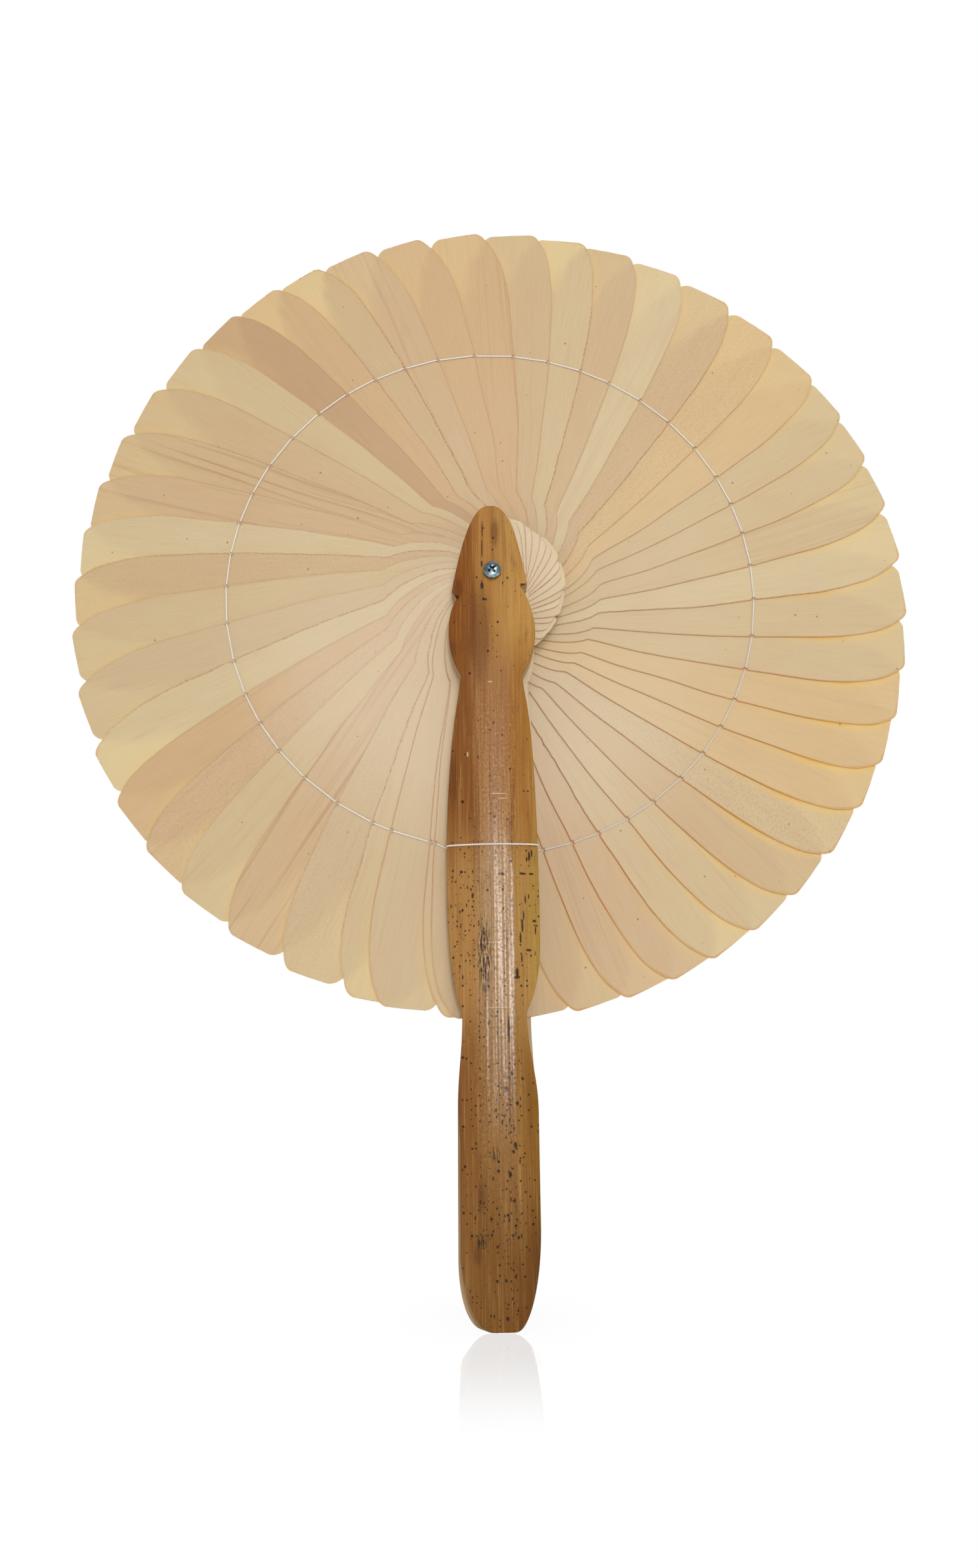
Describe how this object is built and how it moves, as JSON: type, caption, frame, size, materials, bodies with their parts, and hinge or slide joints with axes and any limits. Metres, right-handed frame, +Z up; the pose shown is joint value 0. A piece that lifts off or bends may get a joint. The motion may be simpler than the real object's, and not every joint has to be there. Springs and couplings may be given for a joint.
{
  "type": "folding hand fan",
  "caption": "Full-circle folding hand fan: thin fish-shaped wooden leaves tied by a thread turn on a screw between two split-bamboo handle halves.",
  "frame": {"origin": "middle of the butt end, on the floor, halfway between the two handle halves", "axes": "+Z up the handle towards the open leaves, +Y from the front half to the rear half along the screw, +X to the right seen from the front"},
  "size_m": [0.2701, 0.0384, 0.3535],
  "materials": {
    "bamboo": "polished bamboo skin, golden brown with dark specks",
    "leaf": "thin veneer, fine lengthwise grain, matt",
    "thread": "white twisted thread",
    "zinc_steel": "zinc plated"
  },
  "bodies": {
    "rear_handle": {"rear_handle": "bamboo", "pivot_screw": "zinc_steel", "pivot_washer": "zinc_steel", "pivot_nut": "zinc_steel", "rear_thread_wrap": "thread", "binding_thread": "thread"},
    "front_handle": {"front_handle": "bamboo", "front_thread_wrap": "thread"},
    "leaf_01": {"leaf_01": "leaf"},
    "leaf_02": {"leaf_02": "leaf"},
    "leaf_03": {"leaf_03": "leaf"},
    "leaf_04": {"leaf_04": "leaf"},
    "leaf_05": {"leaf_05": "leaf"},
    "leaf_06": {"leaf_06": "leaf"},
    "leaf_07": {"leaf_07": "leaf"},
    "leaf_08": {"leaf_08": "leaf"},
    "leaf_09": {"leaf_09": "leaf"},
    "leaf_10": {"leaf_10": "leaf"},
    "leaf_11": {"leaf_11": "leaf"},
    "leaf_12": {"leaf_12": "leaf"},
    "leaf_13": {"leaf_13": "leaf"},
    "leaf_14": {"leaf_14": "leaf"},
    "leaf_15": {"leaf_15": "leaf"},
    "leaf_16": {"leaf_16": "leaf"},
    "leaf_17": {"leaf_17": "leaf"},
    "leaf_18": {"leaf_18": "leaf"},
    "leaf_19": {"leaf_19": "leaf"},
    "leaf_20": {"leaf_20": "leaf"},
    "leaf_21": {"leaf_21": "leaf"},
    "leaf_22": {"leaf_22": "leaf"},
    "leaf_23": {"leaf_23": "leaf"},
    "leaf_24": {"leaf_24": "leaf"},
    "leaf_25": {"leaf_25": "leaf"},
    "leaf_26": {"leaf_26": "leaf"},
    "leaf_27": {"leaf_27": "leaf"},
    "leaf_28": {"leaf_28": "leaf"},
    "leaf_29": {"leaf_29": "leaf"},
    "leaf_30": {"leaf_30": "leaf"},
    "leaf_31": {"leaf_31": "leaf"},
    "leaf_32": {"leaf_32": "leaf"},
    "leaf_33": {"leaf_33": "leaf"},
    "leaf_34": {"leaf_34": "leaf"},
    "leaf_35": {"leaf_35": "leaf"},
    "leaf_36": {"leaf_36": "leaf"},
    "leaf_37": {"leaf_37": "leaf"},
    "leaf_38": {"leaf_38": "leaf"},
    "leaf_39": {"leaf_39": "leaf"},
    "leaf_40": {"leaf_40": "leaf"},
    "leaf_41": {"leaf_41": "leaf"},
    "leaf_42": {"leaf_42": "leaf"},
    "leaf_43": {"leaf_43": "leaf"},
    "leaf_44": {"leaf_44": "leaf"},
    "leaf_45": {"leaf_45": "leaf"},
    "leaf_46": {"leaf_46": "leaf"},
    "leaf_47": {"leaf_47": "leaf"},
    "leaf_48": {"leaf_48": "leaf"}
  },
  "joints": [
    {"name": "fan_fold", "type": "hinge", "parent": "rear_handle", "child": "front_handle", "pos_m": [0, 0, 0.2184], "axis": [0, 1, 0], "range_deg": [0, 360], "deforming": ["binding_thread"]},
    {"name": "leaf_01_turn", "type": "hinge", "parent": "rear_handle", "child": "leaf_01", "pos_m": [0, 0, 0.2184], "axis": [0, 1, 0], "range_deg": [0, 358.11]},
    {"name": "leaf_02_turn", "type": "hinge", "parent": "rear_handle", "child": "leaf_02", "pos_m": [0, 0, 0.2184], "axis": [0, 1, 0], "range_deg": [0, 356.61]},
    {"name": "leaf_03_turn", "type": "hinge", "parent": "rear_handle", "child": "leaf_03", "pos_m": [0, 0, 0.2184], "axis": [0, 1, 0], "range_deg": [0, 348.61]},
    {"name": "leaf_04_turn", "type": "hinge", "parent": "rear_handle", "child": "leaf_04", "pos_m": [0, 0, 0.2184], "axis": [0, 1, 0], "range_deg": [0, 344.45]},
    {"name": "leaf_05_turn", "type": "hinge", "parent": "rear_handle", "child": "leaf_05", "pos_m": [0, 0, 0.2184], "axis": [0, 1, 0], "range_deg": [0, 335.81]},
    {"name": "leaf_06_turn", "type": "hinge", "parent": "rear_handle", "child": "leaf_06", "pos_m": [0, 0, 0.2184], "axis": [0, 1, 0], "range_deg": [0, 327.24]},
    {"name": "leaf_07_turn", "type": "hinge", "parent": "rear_handle", "child": "leaf_07", "pos_m": [0, 0, 0.2184], "axis": [0, 1, 0], "range_deg": [0, 319.26]},
    {"name": "leaf_08_turn", "type": "hinge", "parent": "rear_handle", "child": "leaf_08", "pos_m": [0, 0, 0.2184], "axis": [0, 1, 0], "range_deg": [0, 311.84]},
    {"name": "leaf_09_turn", "type": "hinge", "parent": "rear_handle", "child": "leaf_09", "pos_m": [0, 0, 0.2184], "axis": [0, 1, 0], "range_deg": [0, 304.41]},
    {"name": "leaf_10_turn", "type": "hinge", "parent": "rear_handle", "child": "leaf_10", "pos_m": [0, 0, 0.2184], "axis": [0, 1, 0], "range_deg": [0, 296.43]},
    {"name": "leaf_11_turn", "type": "hinge", "parent": "rear_handle", "child": "leaf_11", "pos_m": [0, 0, 0.2184], "axis": [0, 1, 0], "range_deg": [0, 287.92]},
    {"name": "leaf_12_turn", "type": "hinge", "parent": "rear_handle", "child": "leaf_12", "pos_m": [0, 0, 0.2184], "axis": [0, 1, 0], "range_deg": [0, 279.42]},
    {"name": "leaf_13_turn", "type": "hinge", "parent": "rear_handle", "child": "leaf_13", "pos_m": [0, 0, 0.2184], "axis": [0, 1, 0], "range_deg": [0, 271.49]},
    {"name": "leaf_14_turn", "type": "hinge", "parent": "rear_handle", "child": "leaf_14", "pos_m": [0, 0, 0.2184], "axis": [0, 1, 0], "range_deg": [0, 264.16]},
    {"name": "leaf_15_turn", "type": "hinge", "parent": "rear_handle", "child": "leaf_15", "pos_m": [0, 0, 0.2184], "axis": [0, 1, 0], "range_deg": [0, 256.88]},
    {"name": "leaf_16_turn", "type": "hinge", "parent": "rear_handle", "child": "leaf_16", "pos_m": [0, 0, 0.2184], "axis": [0, 1, 0], "range_deg": [0, 249.07]},
    {"name": "leaf_17_turn", "type": "hinge", "parent": "rear_handle", "child": "leaf_17", "pos_m": [0, 0, 0.2184], "axis": [0, 1, 0], "range_deg": [0, 240.68]},
    {"name": "leaf_18_turn", "type": "hinge", "parent": "rear_handle", "child": "leaf_18", "pos_m": [0, 0, 0.2184], "axis": [0, 1, 0], "range_deg": [0, 232.2]},
    {"name": "leaf_19_turn", "type": "hinge", "parent": "rear_handle", "child": "leaf_19", "pos_m": [0, 0, 0.2184], "axis": [0, 1, 0], "range_deg": [0, 224.24]},
    {"name": "leaf_20_turn", "type": "hinge", "parent": "rear_handle", "child": "leaf_20", "pos_m": [0, 0, 0.2184], "axis": [0, 1, 0], "range_deg": [0, 216.87]},
    {"name": "leaf_21_turn", "type": "hinge", "parent": "rear_handle", "child": "leaf_21", "pos_m": [0, 0, 0.2184], "axis": [0, 1, 0], "range_deg": [0, 209.58]},
    {"name": "leaf_22_turn", "type": "hinge", "parent": "rear_handle", "child": "leaf_22", "pos_m": [0, 0, 0.2184], "axis": [0, 1, 0], "range_deg": [0, 201.77]},
    {"name": "leaf_23_turn", "type": "hinge", "parent": "rear_handle", "child": "leaf_23", "pos_m": [0, 0, 0.2184], "axis": [0, 1, 0], "range_deg": [0, 193.33]},
    {"name": "leaf_24_turn", "type": "hinge", "parent": "rear_handle", "child": "leaf_24", "pos_m": [0, 0, 0.2184], "axis": [0, 1, 0], "range_deg": [0, 184.72]},
    {"name": "leaf_25_turn", "type": "hinge", "parent": "rear_handle", "child": "leaf_25", "pos_m": [0, 0, 0.2184], "axis": [0, 1, 0], "range_deg": [0, 176.56]},
    {"name": "leaf_26_turn", "type": "hinge", "parent": "rear_handle", "child": "leaf_26", "pos_m": [0, 0, 0.2184], "axis": [0, 1, 0], "range_deg": [0, 169.01]},
    {"name": "leaf_27_turn", "type": "hinge", "parent": "rear_handle", "child": "leaf_27", "pos_m": [0, 0, 0.2184], "axis": [0, 1, 0], "range_deg": [0, 161.62]},
    {"name": "leaf_28_turn", "type": "hinge", "parent": "rear_handle", "child": "leaf_28", "pos_m": [0, 0, 0.2184], "axis": [0, 1, 0], "range_deg": [0, 153.78]},
    {"name": "leaf_29_turn", "type": "hinge", "parent": "rear_handle", "child": "leaf_29", "pos_m": [0, 0, 0.2184], "axis": [0, 1, 0], "range_deg": [0, 145.31]},
    {"name": "leaf_30_turn", "type": "hinge", "parent": "rear_handle", "child": "leaf_30", "pos_m": [0, 0, 0.2184], "axis": [0, 1, 0], "range_deg": [0, 136.65]},
    {"name": "leaf_31_turn", "type": "hinge", "parent": "rear_handle", "child": "leaf_31", "pos_m": [0, 0, 0.2184], "axis": [0, 1, 0], "range_deg": [0, 128.45]},
    {"name": "leaf_32_turn", "type": "hinge", "parent": "rear_handle", "child": "leaf_32", "pos_m": [0, 0, 0.2184], "axis": [0, 1, 0], "range_deg": [0, 120.93]},
    {"name": "leaf_33_turn", "type": "hinge", "parent": "rear_handle", "child": "leaf_33", "pos_m": [0, 0, 0.2184], "axis": [0, 1, 0], "range_deg": [0, 113.7]},
    {"name": "leaf_34_turn", "type": "hinge", "parent": "rear_handle", "child": "leaf_34", "pos_m": [0, 0, 0.2184], "axis": [0, 1, 0], "range_deg": [0, 106.14]},
    {"name": "leaf_35_turn", "type": "hinge", "parent": "rear_handle", "child": "leaf_35", "pos_m": [0, 0, 0.2184], "axis": [0, 1, 0], "range_deg": [0, 98.02]},
    {"name": "leaf_36_turn", "type": "hinge", "parent": "rear_handle", "child": "leaf_36", "pos_m": [0, 0, 0.2184], "axis": [0, 1, 0], "range_deg": [0, 89.73]},
    {"name": "leaf_37_turn", "type": "hinge", "parent": "rear_handle", "child": "leaf_37", "pos_m": [0, 0, 0.2184], "axis": [0, 1, 0], "range_deg": [0, 81.91]},
    {"name": "leaf_38_turn", "type": "hinge", "parent": "rear_handle", "child": "leaf_38", "pos_m": [0, 0, 0.2184], "axis": [0, 1, 0], "range_deg": [0, 74.85]},
    {"name": "leaf_39_turn", "type": "hinge", "parent": "rear_handle", "child": "leaf_39", "pos_m": [0, 0, 0.2184], "axis": [0, 1, 0], "range_deg": [0, 68.19]},
    {"name": "leaf_40_turn", "type": "hinge", "parent": "rear_handle", "child": "leaf_40", "pos_m": [0, 0, 0.2184], "axis": [0, 1, 0], "range_deg": [0, 61.3]},
    {"name": "leaf_41_turn", "type": "hinge", "parent": "rear_handle", "child": "leaf_41", "pos_m": [0, 0, 0.2184], "axis": [0, 1, 0], "range_deg": [0, 53.87]},
    {"name": "leaf_42_turn", "type": "hinge", "parent": "rear_handle", "child": "leaf_42", "pos_m": [0, 0, 0.2184], "axis": [0, 1, 0], "range_deg": [0, 46.23]},
    {"name": "leaf_43_turn", "type": "hinge", "parent": "rear_handle", "child": "leaf_43", "pos_m": [0, 0, 0.2184], "axis": [0, 1, 0], "range_deg": [0, 39]},
    {"name": "leaf_44_turn", "type": "hinge", "parent": "rear_handle", "child": "leaf_44", "pos_m": [0, 0, 0.2184], "axis": [0, 1, 0], "range_deg": [0, 32.5]},
    {"name": "leaf_45_turn", "type": "hinge", "parent": "rear_handle", "child": "leaf_45", "pos_m": [0, 0, 0.2184], "axis": [0, 1, 0], "range_deg": [0, 26.43]},
    {"name": "leaf_46_turn", "type": "hinge", "parent": "rear_handle", "child": "leaf_46", "pos_m": [0, 0, 0.2184], "axis": [0, 1, 0], "range_deg": [0, 20.13]},
    {"name": "leaf_47_turn", "type": "hinge", "parent": "rear_handle", "child": "leaf_47", "pos_m": [0, 0, 0.2184], "axis": [0, 1, 0], "range_deg": [0, 13.22]},
    {"name": "leaf_48_turn", "type": "hinge", "parent": "rear_handle", "child": "leaf_48", "pos_m": [0, 0, 0.2184], "axis": [0, 1, 0], "range_deg": [0, 5.95]}
  ],
  "couplings": [
    {"joint": "leaf_01_turn", "follows": "fan_fold", "ratio": 0.99472},
    {"joint": "leaf_02_turn", "follows": "fan_fold", "ratio": 0.99056},
    {"joint": "leaf_03_turn", "follows": "fan_fold", "ratio": 0.96833},
    {"joint": "leaf_04_turn", "follows": "fan_fold", "ratio": 0.95677},
    {"joint": "leaf_05_turn", "follows": "fan_fold", "ratio": 0.93277},
    {"joint": "leaf_06_turn", "follows": "fan_fold", "ratio": 0.90896},
    {"joint": "leaf_07_turn", "follows": "fan_fold", "ratio": 0.88681},
    {"joint": "leaf_08_turn", "follows": "fan_fold", "ratio": 0.8662},
    {"joint": "leaf_09_turn", "follows": "fan_fold", "ratio": 0.84557},
    {"joint": "leaf_10_turn", "follows": "fan_fold", "ratio": 0.8234},
    {"joint": "leaf_11_turn", "follows": "fan_fold", "ratio": 0.79974},
    {"joint": "leaf_12_turn", "follows": "fan_fold", "ratio": 0.77613},
    {"joint": "leaf_13_turn", "follows": "fan_fold", "ratio": 0.75412},
    {"joint": "leaf_14_turn", "follows": "fan_fold", "ratio": 0.73376},
    {"joint": "leaf_15_turn", "follows": "fan_fold", "ratio": 0.71353},
    {"joint": "leaf_16_turn", "follows": "fan_fold", "ratio": 0.69184},
    {"joint": "leaf_17_turn", "follows": "fan_fold", "ratio": 0.66851},
    {"joint": "leaf_18_turn", "follows": "fan_fold", "ratio": 0.64498},
    {"joint": "leaf_19_turn", "follows": "fan_fold", "ratio": 0.62286},
    {"joint": "leaf_20_turn", "follows": "fan_fold", "ratio": 0.60238},
    {"joint": "leaf_21_turn", "follows": "fan_fold", "ratio": 0.58214},
    {"joint": "leaf_22_turn", "follows": "fan_fold", "ratio": 0.56045},
    {"joint": "leaf_23_turn", "follows": "fan_fold", "ratio": 0.53699},
    {"joint": "leaf_24_turn", "follows": "fan_fold", "ratio": 0.51308},
    {"joint": "leaf_25_turn", "follows": "fan_fold", "ratio": 0.49042},
    {"joint": "leaf_26_turn", "follows": "fan_fold", "ratio": 0.46946},
    {"joint": "leaf_27_turn", "follows": "fan_fold", "ratio": 0.44893},
    {"joint": "leaf_28_turn", "follows": "fan_fold", "ratio": 0.42714},
    {"joint": "leaf_29_turn", "follows": "fan_fold", "ratio": 0.4036},
    {"joint": "leaf_30_turn", "follows": "fan_fold", "ratio": 0.37956},
    {"joint": "leaf_31_turn", "follows": "fan_fold", "ratio": 0.35678},
    {"joint": "leaf_32_turn", "follows": "fan_fold", "ratio": 0.33589},
    {"joint": "leaf_33_turn", "follows": "fan_fold", "ratio": 0.31582},
    {"joint": "leaf_34_turn", "follows": "fan_fold", "ratio": 0.29482},
    {"joint": "leaf_35_turn", "follows": "fan_fold", "ratio": 0.27226},
    {"joint": "leaf_36_turn", "follows": "fan_fold", "ratio": 0.24922},
    {"joint": "leaf_37_turn", "follows": "fan_fold", "ratio": 0.2275},
    {"joint": "leaf_38_turn", "follows": "fan_fold", "ratio": 0.20788},
    {"joint": "leaf_39_turn", "follows": "fan_fold", "ratio": 0.18939},
    {"joint": "leaf_40_turn", "follows": "fan_fold", "ratio": 0.17025},
    {"joint": "leaf_41_turn", "follows": "fan_fold", "ratio": 0.14962},
    {"joint": "leaf_42_turn", "follows": "fan_fold", "ratio": 0.12838},
    {"joint": "leaf_43_turn", "follows": "fan_fold", "ratio": 0.10829},
    {"joint": "leaf_44_turn", "follows": "fan_fold", "ratio": 0.09025},
    {"joint": "leaf_45_turn", "follows": "fan_fold", "ratio": 0.073386},
    {"joint": "leaf_46_turn", "follows": "fan_fold", "ratio": 0.055883},
    {"joint": "leaf_47_turn", "follows": "fan_fold", "ratio": 0.036686},
    {"joint": "leaf_48_turn", "follows": "fan_fold", "ratio": 0.016486}
  ]
}
